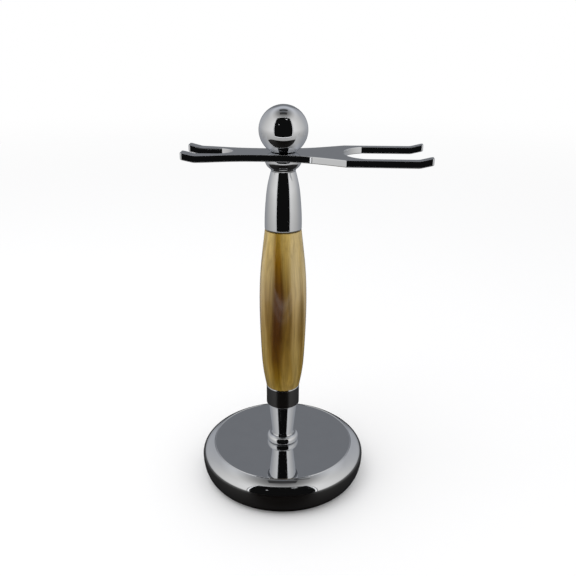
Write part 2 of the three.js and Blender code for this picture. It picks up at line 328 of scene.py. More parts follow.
# how each of the horn's colours changes from the handle's bottom, 0, to its top, 1
BODY_COLOURS = [
    (0.00, (0.25, 0.165, 0.045)),
    (0.10, (0.25, 0.160, 0.030)),
    (0.22, (0.20, 0.122, 0.026)),
    (0.36, (0.15, 0.088, 0.018)),
    (0.50, (0.17, 0.104, 0.030)),
    (0.62, (0.23, 0.152, 0.054)),
    (0.75, (0.33, 0.235, 0.090)),
    (0.90, (0.39, 0.275, 0.092)),
    (1.00, (0.39, 0.280, 0.090)),
]
SEAM_COLOURS = [
    (0.00, (0.26, 0.180, 0.055)),
    (0.25, (0.28, 0.195, 0.060)),
    (0.45, (0.30, 0.205, 0.075)),
    (0.60, (0.40, 0.290, 0.130)),
    (0.75, (0.46, 0.350, 0.165)),
    (1.00, (0.44, 0.330, 0.140)),
]
HALO_COLOURS = [
    (0.00, (0.26, 0.170, 0.040)),
    (0.20, (0.17, 0.100, 0.018)),
    (0.36, (0.115, 0.062, 0.010)),
    (0.50, (0.125, 0.066, 0.012)),
    (0.66, (0.145, 0.083, 0.016)),
    (0.78, (0.200, 0.125, 0.024)),
    (1.00, (0.330, 0.225, 0.060)),
]
CORE_COLOURS = [
    (0.00, (0.21, 0.135, 0.020)),
    (0.10, (0.15, 0.080, 0.005)),
    (0.22, (0.075, 0.031, 0.002)),
    (0.38, (0.050, 0.017, 0.003)),
    (0.56, (0.055, 0.020, 0.006)),
    (0.70, (0.070, 0.027, 0.003)),
    (0.84, (0.150, 0.068, 0.002)),
    (1.00, (0.245, 0.145, 0.016)),
]


def horn_sheet(tree, place, facing, centre, half_width, widest):
    """How much of a sheet of horn shows at a point. The sheet runs up the rod and comes out at the
    surface on one side. Facing is in degrees round from the front, centre is how far the sheet lies
    to one side, and widest is the height at which it is broadest."""
    turn = add_node(tree, "ShaderNodeVectorRotate",
                    {"Vector": place, "Angle": math.radians(facing)}, rotation_type="Z_AXIS").outputs[0]
    across, behind, up = add_node(tree, "ShaderNodeSeparateXYZ", {0: turn}).outputs
    from_widest = calculate(tree, "DIVIDE", calculate(tree, "SUBTRACT", up, widest), SHEET_LENGTH)
    taper = calculate(tree, "SUBTRACT", 1.0, calculate(tree, "MULTIPLY", from_widest, from_widest))
    width = calculate(tree, "MULTIPLY", calculate(tree, "MAXIMUM", taper, SHEET_THIN_END), half_width)
    offset = calculate(tree, "ABSOLUTE", calculate(tree, "SUBTRACT", across, centre))
    sheet = remap(tree, calculate(tree, "DIVIDE", offset, width), *SHEET_EDGE, 1.0, 0.0, smooth=True)
    side = remap(tree, behind, *SHEET_DEPTH, 0.0, 1.0, smooth=True)
    return calculate(tree, "MULTIPLY", sheet, side)


def lay_sheets(tree, place, sheets, strength, colour, sheet_colour):
    """Colour with sheets of another colour over it, where the strongest sheet at a point counts."""
    shown = 0.0
    for sheet in sheets:
        shown = calculate(tree, "MAXIMUM", shown, horn_sheet(tree, place, *sheet))
    return blend_colour(tree, calculate(tree, "MULTIPLY", shown, strength), colour, sheet_colour)


def horn_streaks(tree, place, width, length, detail):
    """Long streaks up the rod, whose width and length are in mm."""
    scaled = calculate_vector(tree, "MULTIPLY", place, (1 / width, 1 / width, 1 / length))
    return noise(tree, scaled, 1.0, detail, 0.55)


def drifting_grain(tree, place):
    """The place moved sideways by a slow noise, so that the grain isn't straight."""
    drift = add_node(tree, "ShaderNodeTexNoise", {
        "Vector": millimetres(tree, GRAIN_DRIFT_SIZE), "Scale": 1.0, "Detail": 2.0, "Roughness": 0.5})
    around_zero = calculate_vector(tree, "SUBTRACT", drift.outputs["Color"], (0.5, 0.5, 0.5))
    moved = calculate_vector(tree, "MULTIPLY", around_zero, GRAIN_DRIFT)
    return calculate_vector(tree, "ADD", place, moved)


def horn():
    """Polished faux horn: honey resin with long streaks, pale seams and brown sheets with dark cores."""
    material, tree, surface = start_material("faux_horn")
    place = millimetres(tree)
    grain = drifting_grain(tree, place)
    broad = horn_streaks(tree, grain, 3.5, 60.0, 2.0)
    fine = horn_streaks(tree, grain, 1.2, 42.0, 4.0)
    hair = horn_streaks(tree, grain, 0.4, 26.0, 2.0)
    height = add_node(tree, "ShaderNodeSeparateXYZ", {0: place}).outputs["Z"]
    level = remap(tree, height, HANDLE_BOTTOM, HANDLE_TOP, 0.0, 1.0)

    colour = colour_ramp(tree, level, BODY_COLOURS)
    colour = scale_colour(tree, colour, remap(tree, broad, 0.35, 0.65, 0.84, 1.18))
    for sheets, strength, stops in ((PALE_SEAMS, 0.9, SEAM_COLOURS), (BROWN_HALOS, 0.9, HALO_COLOURS),
                                    (DARK_CORES, 0.95, CORE_COLOURS)):
        colour = lay_sheets(tree, grain, sheets, strength, colour, colour_ramp(tree, level, stops))
    colour = scale_colour(tree, colour, remap(tree, fine, 0.32, 0.68, 0.80, 1.22))
    colour = scale_colour(tree, colour, remap(tree, hair, 0.35, 0.65, 0.93, 1.07))

    polish = remap(tree, noise(tree, place, 0.25, 3.0, 0.6), 0.3, 0.7, 0.07, 0.14)
    finish_surface(tree, surface, colour, polish, fine, 0.012)
    surface.inputs["IOR"].default_value = 1.47
    return material


def plated_steel():
    """Zinc-plated steel: dull, with small cloudy spangles."""
    material, tree, surface = start_material("plated_steel")
    place = millimetres(tree)
    cells = add_node(tree, "ShaderNodeTexVoronoi", {"Vector": place, "Scale": 1.4}).outputs["Color"]
    cloud = noise(tree, place, 0.8, 4.0, 0.6)
    tint = blend_colour(tree, cloud, (0.46, 0.46, 0.47), (0.62, 0.62, 0.62))
    tint = blend_colour(tree, 0.08, tint, cells, "OVERLAY")
    rough = remap(tree, cloud, 0.3, 0.7, 0.24, 0.42)
    finish_surface(tree, surface, tint, rough, cloud, 0.01, metallic=1.0)
    return material


def turned_brass():
    """Brass with the fine rings that a lathe tool leaves, and a little tarnish."""
    material, tree, surface = start_material("turned_brass")
    rings = noise(tree, millimetres(tree, (40, 40, 0.25)), 1.0, 2.0, 0.5)
    tarnish = noise(tree, millimetres(tree), 0.35, 4.0, 0.6)
    tint = blend_colour(tree, tarnish, (0.72, 0.52, 0.22), (0.55, 0.38, 0.15))
    rough = remap(tree, tarnish, 0.3, 0.7, 0.2, 0.38)
    finish_surface(tree, surface, tint, rough, rings, 0.02, metallic=1.0)
    return material


def foot_rubber():
    """Soft black rubber: fine grain and patches of dust."""
    material, tree, surface = start_material("foot_rubber")
    place = millimetres(tree)
    grain = noise(tree, place, 4.0, 3.0, 0.6)
    dust = remap(tree, noise(tree, place, 0.08, 4.0, 0.6), 0.35, 0.75, 0.0, 1.0)
    tint = blend_colour(tree, dust, (0.018, 0.018, 0.019), (0.05, 0.049, 0.047))
    rough = remap(tree, grain, 0.3, 0.7, 0.65, 0.85)
    finish_surface(tree, surface, tint, rough, grain, 0.06)
    return material


def washer_nylon():
    """Natural nylon, slightly waxy and uneven."""
    material, tree, surface = start_material("washer_nylon")
    cloud = noise(tree, millimetres(tree), 0.6, 3.0, 0.5)
    tint = blend_colour(tree, cloud, (0.70, 0.68, 0.60), (0.82, 0.80, 0.74))
    rough = remap(tree, cloud, 0.3, 0.7, 0.38, 0.52)
    finish_surface(tree, surface, tint, rough, cloud, 0.01)
    surface.inputs["Subsurface Weight"].default_value = 0.1
    return material


def raw_iron():
    """Sand-cast iron: dark, grainy, with rusty patches."""
    material, tree, surface = start_material("raw_iron")
    place = millimetres(tree)
    sand = noise(tree, place, 1.6, 6.0, 0.7)
    rust = noise(tree, place, 0.12, 5.0, 0.7)
    rusty = remap(tree, rust, 0.52, 0.7, 0.0, 0.7)
    tint = blend_colour(tree, rusty, (0.09, 0.09, 0.092), (0.17, 0.07, 0.03))
    rough = remap(tree, rust, 0.45, 0.65, 0.6, 0.9)
    finish_surface(tree, surface, tint, rough, sand, 0.2, metallic=0.6)
    return material


CHROME = chrome()
HORN = horn()
STEEL = plated_steel()
BRASS = turned_brass()
RUBBER = foot_rubber()
NYLON = washer_nylon()
IRON = raw_iron()

# ---------------------------------------------------------------- shared sizes, in mm

ROD_RADIUS = 2.4
ROD_BORE = 2.7
TUBE_BORE = 3.7
FINE_EDGE = 0.12         # broken edge of a polished piece

# ---------------------------------------------------------------- base

BASE_SIDES = 240
BASE_RADIUS = 37.6
BASE_WIDEST = 10.4       # height at which the rim is widest
BASE_FOOT_RADIUS = 33.2
RIM_CURVE_RADIUS = 17.2
DISC_RADIUS = 31.8
GROOVE_WIDTH = 0.4
GROOVE_DEPTH = 0.25
CAVITY_RADIUS = 30.4
CAVITY_TOP = 13.0
PAD_EDGE = 0.6
PAD_RING_RADII = (9.0, 17.0, 25.0)
PAD_RING_HALF_WIDTH = 0.8
PAD_RING_DEPTH = 0.4
PAD_RING_SLOPE = 0.3     # how far in each side of a ring leans


def add_base_shell():
    """Flat mirror disc with a fine groove round it, a rim that swells out and curves under to the foot."""
    bottom, top = span("base_shell")
    groove_outer = DISC_RADIUS + GROOVE_WIDTH
    rim_centre = BASE_RADIUS - RIM_CURVE_RADIUS
    crease = math.acos((groove_outer - rim_centre) / RIM_CURVE_RADIUS)
    rim_height = (top - BASE_WIDEST) / math.sin(crease)
    lower = arc((BASE_FOOT_RADIUS, BASE_WIDEST), (BASE_RADIUS - BASE_FOOT_RADIUS, BASE_WIDEST - bottom),
                -90, 0, steps=28)
    upper = arc((rim_centre, BASE_WIDEST), (RIM_CURVE_RADIUS, rim_height),
                0, math.degrees(crease), steps=36)
    groove = softened([
        upper[-2],
        (groove_outer, top, 0.1),
        (DISC_RADIUS + GROOVE_WIDTH / 2, top - GROOVE_DEPTH, 0.08),
        (DISC_RADIUS, top, 0.1),
        (DISC_RADIUS - 1, top),
    ])
    bore = softened([
        (DISC_RADIUS - 1, top),
        (ROD_BORE, top, FINE_EDGE),
        (ROD_BORE, CAVITY_TOP, FINE_EDGE),
        (CAVITY_RADIUS, CAVITY_TOP, 1.0),
        (CAVITY_RADIUS, bottom, 0.3),
        (BASE_FOOT_RADIUS, bottom),
    ])
    outline = lower + upper[1:-2] + groove + bore[1:-1]
    fit(turned("base_shell_polished", outline, BASE_SIDES), "stand", "base_shell", CHROME)


def add_foot_pad():
    """Rubber disc with a rounded lower edge and three shallow moulded rings underneath."""
    bottom, top = span("foot_pad")
    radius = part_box("foot_pad")[1].x / MM
    floor_half = PAD_RING_HALF_WIDTH - PAD_RING_SLOPE
    outline = [(0, bottom)]
    for ring_radius in PAD_RING_RADII:
        outline += [
            (ring_radius - PAD_RING_HALF_WIDTH, bottom),
            (ring_radius - floor_half, bottom + PAD_RING_DEPTH),
            (ring_radius + floor_half, bottom + PAD_RING_DEPTH),
            (ring_radius + PAD_RING_HALF_WIDTH, bottom),
        ]
    outline += arc((radius - PAD_EDGE, bottom + PAD_EDGE), (PAD_EDGE, PAD_EDGE), -90, 0, steps=6)
    outline += [(radius, top), (0, top)]
    fit(turned("foot_pad_moulded", outline), "stand", "foot_pad", RUBBER)


add_base_shell()
add_foot_pad()

# ---------------------------------------------------------------- stem

BEAD_SEAT_RADIUS = 5.6
BEAD_BULGE = 1.6
BEAD_FULLNESS = 0.4      # 1 is an ellipse, less is squarer
FOOT_WAIST_RADIUS = 4.9
FOOT_TOP_RADIUS = 6.5
FOOT_FLARE_STATIONS = [(0.3, 0.05), (0.04, 0.7), (0.03, 1.3)]    # past the waist, and above the bead
FOOT_FLARE_EDGE = 0.05
LOWER_FERRULE_RADIUS = 7.45
SEAT_RADIUS = 6.5
SEAT_DEPTH = 0.9
TUBE_END_LOW = 37.7
TUBE_END_HIGH = 126.3
HANDLE_STATIONS = [(8.75, 52.5), (9.72, 64.8), (10.28, 83.5), (9.55, 103.1), (8.4, 113.6)]
HANDLE_BOTTOM_RADIUS = 7.5
HANDLE_TOP_RADIUS = 7.8
UPPER_FERRULE_RADIUS = 7.82
UPPER_FERRULE_EDGE = 0.8  # rounding at the handle
UPPER_FERRULE_STATIONS = [(7.78, 124.3), (7.35, 131.2), (6.5, 138.0)]
COLLAR_NECK_RADIUS = 5.1
COLLAR_STATIONS = [(5.3, 144.5), (6.1, 145.2), (7.0, 146.3), (7.5, 147.5)]
COLLAR_RIM_RADIUS = 7.6
FORK_WASHER_SEAT = 5.5
FORK_WASHER_DEPTH = 0.8


def add_bead_ring():
    """Ring that bulges out, a little fuller in its lower half."""
    bottom, top = span("bead_ring")
    middle = (bottom + top) / 2
    outline = [(ROD_BORE, bottom)]
    for radius, height in arc((0, middle), (1, (top - bottom) / 2), -90, 90, steps=36):
        fullness = BEAD_FULLNESS if height < middle else 1.0
        outline.append((BEAD_SEAT_RADIUS + BEAD_BULGE * max(radius, 0.0) ** fullness, height))
    outline += [(ROD_BORE, top)]
    fit(turned("bead_ring_polished", outline), "stand", "bead_ring", CHROME)


def add_stem_foot():
    """A taper that widens upwards from a small flare where it sits on the bead."""
    bottom, top = span("stem_foot")
    stations = [(FOOT_WAIST_RADIUS + out, bottom + up) for out, up in FOOT_FLARE_STATIONS]
    flare = curve_through(stations, steps=8)
    outline = [(ROD_BORE, bottom), (flare[0][0] - FOOT_FLARE_EDGE, bottom)]
    outline += flare
    outline += softened([flare[-1], (FOOT_TOP_RADIUS, top, 0.35), (ROD_BORE, top)])[1:]
    fit(turned("stem_foot_polished", outline), "stand", "stem_foot", CHROME)


def add_lower_ferrule():
    """Short straight ferrule that the handle's end and its tube sit in."""
    bottom, top = span("lower_ferrule")
    outline = softened([
        (ROD_BORE, bottom),
        (LOWER_FERRULE_RADIUS, bottom, 0.5),
        (LOWER_FERRULE_RADIUS, top, 0.5),
        (SEAT_RADIUS, top, 0.1),
        (SEAT_RADIUS, top - SEAT_DEPTH),
        (TUBE_BORE, top - SEAT_DEPTH),
        (TUBE_BORE, TUBE_END_LOW),
        (ROD_BORE, TUBE_END_LOW),
    ], steps=6)
    fit(turned("lower_ferrule_polished", outline), "stand", "lower_ferrule", CHROME)


def add_handle():
    """Barrel-shaped grip, widest a little above the middle."""
    stations = [(HANDLE_BOTTOM_RADIUS, HANDLE_BOTTOM), *HANDLE_STATIONS, (HANDLE_TOP_RADIUS, HANDLE_TOP)]
    side = curve_through(stations, steps=96)
    outline = softened([
        (TUBE_BORE, HANDLE_BOTTOM),
        (*side[0], 0.2),
        *side[1:-1],
        (*side[-1], 0.2),
        (TUBE_BORE, HANDLE_TOP),
    ])
    fit(turned("handle_polished", outline), "stand", "handle", HORN)


def add_upper_ferrule():
    """Long ferrule, straight at the handle and tapering smoothly to the neck."""
    bottom, top = span("upper_ferrule")
    stations = [(UPPER_FERRULE_RADIUS, bottom), *UPPER_FERRULE_STATIONS, (COLLAR_NECK_RADIUS, top)]
    side = curve_through(stations, steps=64)
    past_rounding = next(i for i, (_, height) in enumerate(side) if height > bottom + UPPER_FERRULE_EDGE)
    outline = softened([
        (SEAT_RADIUS, bottom),
        (*side[0], UPPER_FERRULE_EDGE),
        *side[past_rounding:-1],
        (*side[-1], 0.12),
        (ROD_BORE, top),
        (ROD_BORE, TUBE_END_HIGH),
        (TUBE_BORE, TUBE_END_HIGH),
        (TUBE_BORE, bottom + SEAT_DEPTH),
        (SEAT_RADIUS, bottom + SEAT_DEPTH),
    ])
    fit(turned("upper_ferrule_polished", outline), "stand", "upper_ferrule", CHROME)


def add_fork_collar():
    """Shallow bowl under the fork."""
    bottom, top = span("fork_collar")
    stations = [(COLLAR_NECK_RADIUS, bottom), *COLLAR_STATIONS, (COLLAR_RIM_RADIUS, top - 0.3)]
    side = curve_through(stations, steps=40)
    outline = softened([
        (ROD_BORE, bottom),
        *side,
        (COLLAR_RIM_RADIUS, top, 0.2),
        (FORK_WASHER_SEAT, top, 0.1),
        (FORK_WASHER_SEAT, top - FORK_WASHER_DEPTH),
        (ROD_BORE, top - FORK_WASHER_DEPTH),
    ])
    fit(turned("fork_collar_polished", outline), "stand", "fork_collar", CHROME)


add_bead_ring()
add_stem_foot()
add_lower_ferrule()
add_handle()
add_upper_ferrule()
add_fork_collar()

# ---------------------------------------------------------------- tie rod

ROD_SIDES = 40
THREAD_PITCH = 0.8
THREAD_DEPTH = 0.4
THREAD_STEEPNESS = 1.3   # of its flanks: over 1 leaves the bottom of the groove flat
THREAD_LENGTH = 13.0     # cut at each end of the rod
THREAD_STEP = THREAD_PITCH / 10
THREAD_CREASE = 40       # degrees
ROD_TIP_SHARE = 0.8      # of the rod's radius, at its very end
ROD_CHAMFER_RATE = 0.5   # share of the radius gained for each mm from the end


def rod_radius(height, turn, from_end):
    """Radius of the threaded rod at a height and a share of a turn."""
    chamfer = min(1.0, ROD_TIP_SHARE + from_end * ROD_CHAMFER_RATE)
    cut = THREAD_DEPTH * min(1.0, max(0.0, THREAD_LENGTH - from_end))
    flank = abs(2 * ((height / THREAD_PITCH - turn) % 1) - 1)
    return ROD_RADIUS * chamfer - cut * min(1.0, THREAD_STEEPNESS * flank)


def add_tie_rod():
    """Plain rod with a rolled thread at each end and chamfered tips."""
    bottom, top = span("tie_rod")
    heights = list(np.arange(bottom, bottom + THREAD_LENGTH, THREAD_STEP))
    heights += list(np.arange(top - THREAD_LENGTH, top, THREAD_STEP)) + [top]
    bm = bmesh.new()
    rings = [[bm.verts.new((0, 0, bottom))]]
    for height in heights:
        from_end = min(height - bottom, top - height)
        ring = []
        for i in range(ROD_SIDES):
            radius = rod_radius(height, i / ROD_SIDES, from_end)
            angle = 2 * math.pi * i / ROD_SIDES
            ring.append(bm.verts.new((radius * math.cos(angle), radius * math.sin(angle), height)))
        rings.append(ring)
    rings.append([bm.verts.new((0, 0, top))])
    for lower, upper in zip(rings, rings[1:]):
        bridge(bm, lower, upper)
    fit(add_object("tie_rod_threaded", bm, THREAD_CREASE), "stand", "tie_rod", STEEL)


add_tie_rod()

# ---------------------------------------------------------------- fork

RAZOR_TIP_X = -40.1
RAZOR_OUTER = 12.6
RAZOR_SLOT = 6.1
RAZOR_MOUTH = 6.4
RAZOR_SLOT_END = -20.6
RAZOR_FLANK_X = -25.8    # where the slot's curved end meets the prongs
BRUSH_TIP_X = 58.3
BRUSH_OUTER = 17.9
BRUSH_SLOT = 13.9
BRUSH_SLOT_END = 24.4
BRUSH_FLANK_X = 32.3
FLANK_SLOPE = 0.45       # of the slots' curved ends against the prongs they meet
SLOT_STEPS = 28
TIP_CORNER = 1.0
TIP_CORNER_STEPS = 8
TIP_LENGTH = 5.3
TIP_RISE = 1.25
BEND_HALF = 0.8
BEND_CUTS = (-1, -0.5, 0, 0.5, 1)    # where the plate is cut across each bend, as shares of its half
FORK_EDGE = 0.3          # rounding of the plate's edges
FORK_EDGE_STEPS = 6
FORK_BORE_SIDES = 48
FORK_CREASE = 20         # degrees
WAIST_STATIONS = [(-31.5, 11.6), (-24.0, 9.7), (-16.0, 8.3), (-6.0, 8.0), (3.0, 8.7), (10.5, 10.3),
                  (17.0, 13.2), (25.0, 17.4)]
WAIST_STEPS = 90
SHARPEST_INSET = 0.5     # keeps an inset corner from running away where an outline turns sharply


def prong_end(tip_x, outer, inner, side):
    """Rounded end of one prong, from its outer corner to its inner corner."""
    centre_x = tip_x - side * TIP_CORNER
    angles = [step * math.pi / 2 / TIP_CORNER_STEPS for step in range(TIP_CORNER_STEPS + 1)]
    points = []
    for edge, inwards, turns in ((outer, -1, angles), (inner, 1, angles[::-1])):
        for angle in turns:
            points.append((centre_x + side * TIP_CORNER * math.sin(angle),
                           edge + inwards * TIP_CORNER * (1 - math.cos(angle))))
    return points


def slot_end(end_x, flank_x, half_width):
    """Half of a slot's curved end, from the prong's inner edge to the slot's closed end."""
    pull = Vector((end_x, half_width - FLANK_SLOPE * abs(flank_x - end_x)))
    return bezier(Vector((flank_x, half_width)), pull, Vector((end_x, 0)), SLOT_STEPS)


def fork_outline():
    """The plate's outline seen from above, going once round it clockwise."""
    waist_start = (RAZOR_TIP_X + TIP_CORNER, RAZOR_OUTER)
    upper = slot_end(RAZOR_SLOT_END, RAZOR_FLANK_X, RAZOR_SLOT)[::-1]
    upper += prong_end(RAZOR_TIP_X, RAZOR_OUTER, RAZOR_MOUTH, -1)[::-1]
    upper += curve_through([waist_start, *WAIST_STATIONS], WAIST_STEPS, along=0)[1:]
    upper += prong_end(BRUSH_TIP_X, BRUSH_OUTER, BRUSH_SLOT, 1)
    upper += slot_end(BRUSH_SLOT_END, BRUSH_FLANK_X, BRUSH_SLOT)
    lower = [(x, -y) for x, y in upper[1:-1]][::-1]
    return upper + lower


def inset(loop, distance):
    """The loop moved to its right by a distance: inwards where it runs clockwise."""
    moved = []
    for i, point in enumerate(loop):
        before = (point - loop[i - 1]).normalized()
        after = (loop[(i + 1) % len(loop)] - point).normalized()
        along = (before + after).normalized()
        right = Vector((along.y, -along.x))
        moved.append(point + right * distance / max(along.dot(after), SHARPEST_INSET))
    return moved


def tip_rise(x):
    """How far the plate is bent up at a point along it."""
    past = max(x - (BRUSH_TIP_X - TIP_LENGTH), (RAZOR_TIP_X + TIP_LENGTH) - x)
    if past <= -BEND_HALF:
        return 0.0
    slope = TIP_RISE / TIP_LENGTH
    if past >= BEND_HALF:
        return slope * past
    return slope * (past + BEND_HALF) ** 2 / (4 * BEND_HALF)


def plate_levels(thickness):
    """(inset, height) of each ring of a plate's edge, which is rounded above and below."""
    held = FORK_EDGE * (1 + HOLD)
    angles = [math.pi / 2 * step / FORK_EDGE_STEPS for step in range(FORK_EDGE_STEPS + 1)]
    rounding = [(FORK_EDGE * (1 - math.cos(a)), FORK_EDGE * (1 - math.sin(a))) for a in angles]
    levels = [(held, 0.0), *rounding[::-1], (0.0, held)]
    return levels + [(inwards, thickness - height) for inwards, height in levels[::-1]]


def add_plate(bm, loops, thickness):
    """Flat plate between closed loops, with its underside at height 0."""
    ends = ([], [])
    for loop in loops:
        rings = []
        for inwards, height in plate_levels(thickness):
            rings.append([bm.verts.new((x, y, height)) for x, y in inset(loop, inwards)])
        for lower, upper in zip(rings, rings[1:]):
            bridge(bm, lower, upper)
        for end, ring in zip(ends, (rings[0], rings[-1])):
            end += [(ring[i - 1], ring[i]) for i in range(len(ring))]
    for end in ends:
        bmesh.ops.triangle_fill(bm, edges=[bm.edges.get(pair) for pair in end], use_beauty=True)


def bend_prongs(bm, bottom):
    """Cuts the plate across at each bend, then raises it to its height with the prongs' ends bent up."""
    for bend_x in (BRUSH_TIP_X - TIP_LENGTH, RAZOR_TIP_X + TIP_LENGTH):
        for share in BEND_CUTS:
            everything = bm.verts[:] + bm.edges[:] + bm.faces[:]
            bmesh.ops.bisect_plane(bm, geom=everything, plane_co=(bend_x + share * BEND_HALF, 0, 0),
                                   plane_no=(1, 0, 0))
    for vert in bm.verts:
        vert.co.z += bottom + tip_rise(vert.co.x)


def add_fork():
    """Flat plate with a slot at each end, softly broken edges and prong ends that bend up."""
    bottom, top = span("fork")
    loops = [fork_outline(), full_circle(ROD_BORE, FORK_BORE_SIDES)]
    bm = bmesh.new()
    add_plate(bm, [[Vector(point) for point in loop] for loop in loops], top - bottom - TIP_RISE)
    bend_prongs(bm, bottom)
    fit(add_object("fork_polished", bm, FORK_CREASE), "fork", "fork", CHROME)


add_fork()

# ---------------------------------------------------------------- finial

BALL_RADIUS = 10.0
BALL_SEAT_RADIUS = 5.0
BALL_SEAT_GAP = 2        # degrees of the ball left to the seat's broken edge
INSERT_SIDES = 96
INSERT_RADIUS = 3.5
INSERT_END = 0.6         # thickness of the insert's closed end
INSERT_BORE = 3.8
INSERT_ROOM = 0.3        # between the insert's end and the end of its bore


def add_ball_finial():
    """Mirror ball with a small flat seat and a blind bore for the brass insert."""
    bottom, top = span("ball_finial")
    centre = top - BALL_RADIUS
    insert_top = span("finial_insert")[1]
    seat_angle = math.degrees(math.acos(BALL_SEAT_RADIUS / BALL_RADIUS))
    surface = arc((0, centre), (BALL_RADIUS, BALL_RADIUS), BALL_SEAT_GAP - seat_angle, 90, steps=90)
    bore = softened([
        (0, insert_top + INSERT_ROOM),
        (INSERT_BORE, insert_top + INSERT_ROOM),
        (INSERT_BORE, bottom, 0.2),
        (BALL_SEAT_RADIUS, bottom, 0.15),
        surface[0],
    ])
    outline = bore + surface[1:-1] + [(0, top)]
    fit(turned("ball_finial_polished", outline), "finial", "ball_finial", CHROME)


def add_finial_insert():
    """Brass bush with a chamfered mouth and a closed end."""
    bottom, top = span("finial_insert")
    outline = softened([
        (0, top),
        (0, top - INSERT_END),
        (ROD_BORE, top - INSERT_END),
        (ROD_BORE, bottom, 0.35),
        (INSERT_RADIUS, bottom, 0.2),
        (INSERT_RADIUS, top, 0.2),
    ])
    outline = outline[1:] + outline[:1]
    insert = turned("finial_insert_turned", outline, INSERT_SIDES)
    fit(insert, "finial_core", "finial_insert", BRASS)


add_ball_finial()
add_finial_insert()

# ---------------------------------------------------------------- inner pieces kept from the CAD

INNER_FINISH = {
    "base_weight": IRON,
    "flat_washer": STEEL,
    "lock_washer": STEEL,
    "base_nut": STEEL,
    "handle_tube": BRASS,
    "lower_seat_washer": NYLON,
    "upper_seat_washer": NYLON,
    "fork_washer": NYLON,
}
for node_name, finish in INNER_FINISH.items():
    for material_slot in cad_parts[node_name].material_slots:
        material_slot.material = finish

# ---------------------------------------------------------------- floor and light

FLOOR_COLOUR = (0.90, 0.90, 0.905)
FLOOR_FADE = (0.20, 1.5)   # metres from the stand over which the floor melts into the backdrop
FLOOR_HALF = 2.0
BACKDROP_COLOUR = (1.0, 1.0, 1.0)
BACKDROP_STRENGTH = 1.0
SOFTBOX_PLACE = Vector((-0.25, -0.15, 0.75))
SOFTBOX_AIM = Vector((0, 0, 0.05))
SOFTBOX_SIZE = 0.5
SOFTBOX_POWER = 1.2


def level_corners(x, y, height):
    """Corners of a level rectangle between two pairs of coordinates."""
    return [(x[0], y[0], height), (x[1], y[0], height), (x[1], y[1], height), (x[0], y[1], height)]


def only_seen_by(obj, *rays):
    """Hides the object from every kind of ray but the ones named."""
    for ray in ("camera", "diffuse", "glossy", "transmission", "volume_scatter", "shadow"):
        setattr(obj, f"visible_{ray}", ray in rays)


def add_floor():
    """Pale floor, seen only from above, that melts into the backdrop far from the stand."""
    mesh = bpy.data.meshes.new("floor")
    reach = (-FLOOR_HALF, FLOOR_HALF)
    mesh.from_pydata(level_corners(reach, reach, 0), [], [(0, 1, 2, 3)])
    floor = bpy.data.objects.new("floor", mesh)
    bpy.context.scene.collection.objects.link(floor)
    material, tree, surface = start_material("pale_floor")
    surface.inputs["Base Color"].default_value = (*FLOOR_COLOUR, 1.0)
    surface.inputs["Roughness"].default_value = 1.0
    surface.inputs["Specular IOR Level"].default_value = 0.0
    coordinate = add_node(tree, "ShaderNodeTexCoord").outputs["Object"]
    distance = add_node(tree, "ShaderNodeVectorMath", {0: coordinate}, operation="LENGTH").outputs["Value"]
    fade = remap(tree, distance, *FLOOR_FADE, 0.0, 1.0, smooth=True)
    underside = add_node(tree, "ShaderNodeNewGeometry").outputs["Backfacing"]
    unseen = calculate(tree, "MAXIMUM", fade, underside)
    clear = add_node(tree, "ShaderNodeBsdfTransparent").outputs[0]
    mixed = add_node(tree, "ShaderNodeMixShader", {0: unseen, 1: surface.outputs[0], 2: clear})
    tree.links.new(mixed.outputs[0], tree.nodes["Material Output"].inputs["Surface"])
    mesh.materials.append(material)
    only_seen_by(floor, "camera", "transmission")


def add_world():
    """Even white backdrop, which is also the soft light from all round."""
    world = bpy.data.worlds.new("backdrop")
    bpy.context.scene.world = world
    world.use_nodes = True
    background = world.node_tree.nodes["Background"]
    background.inputs["Color"].default_value = (*BACKDROP_COLOUR, 1.0)
    background.inputs["Strength"].default_value = BACKDROP_STRENGTH


def add_softbox():
    """Square light above and to the left, which no reflection shows."""
    data = bpy.data.lights.new("overhead_softbox", "AREA")
    data.shape = "SQUARE"
    data.size = SOFTBOX_SIZE
    data.energy = SOFTBOX_POWER
    light = bpy.data.objects.new("overhead_softbox", data)
    bpy.context.scene.collection.objects.link(light)
    light.location = SOFTBOX_PLACE
    light.rotation_euler = (SOFTBOX_AIM - SOFTBOX_PLACE).to_track_quat("-Z", "Y").to_euler()
    light.visible_glossy = False
    light.visible_camera = False


add_floor()
add_world()
add_softbox()

# ---------------------------------------------------------------- surroundings that the chrome mirrors

DOME_RADIUS = 1.30
DOME_CENTRE = Vector((0, 0, 0.10))
DOME_STEP = 3                # degrees
WARM = (1.01, 1.0, 0.98)     # tint in front
COOL = (0.95, 0.985, 1.06)   # tint behind
COOLING = (90, 160)          # degrees round from the front over which warm turns to cool
# glow of the tent's walls, by degrees round from the front
WALL_GLOW = ((45, 60, 90, 120, 154, 163), (0.92, 0.88, 0.71, 0.54, 0.45, 0.215))
# glow overhead, by degrees up, and how much of it counts against the walls
OVERHEAD_GLOW = ((50, 60, 68, 80), (0.74, 0.57, 0.36, 0.17))
OVERHEAD_SHARE = ((36, 54), (0.0, 1.0))
# dimming of all of it towards the ground, by degrees up
LOW_DIMMING = ((-60, -25, -8, 3), (0.28, 0.62, 0.80, 1.0))

OPENING_DEPTH = -0.48        # the dark opening in front stands this far from the stand
OPENING_HALF_WIDTH = 0.42    # at table level
OPENING_SPREAD = 0.08        # how much wider it gets per metre upwards
OPENING_BOTTOM = -0.078
OPENING_TOP = 1.12
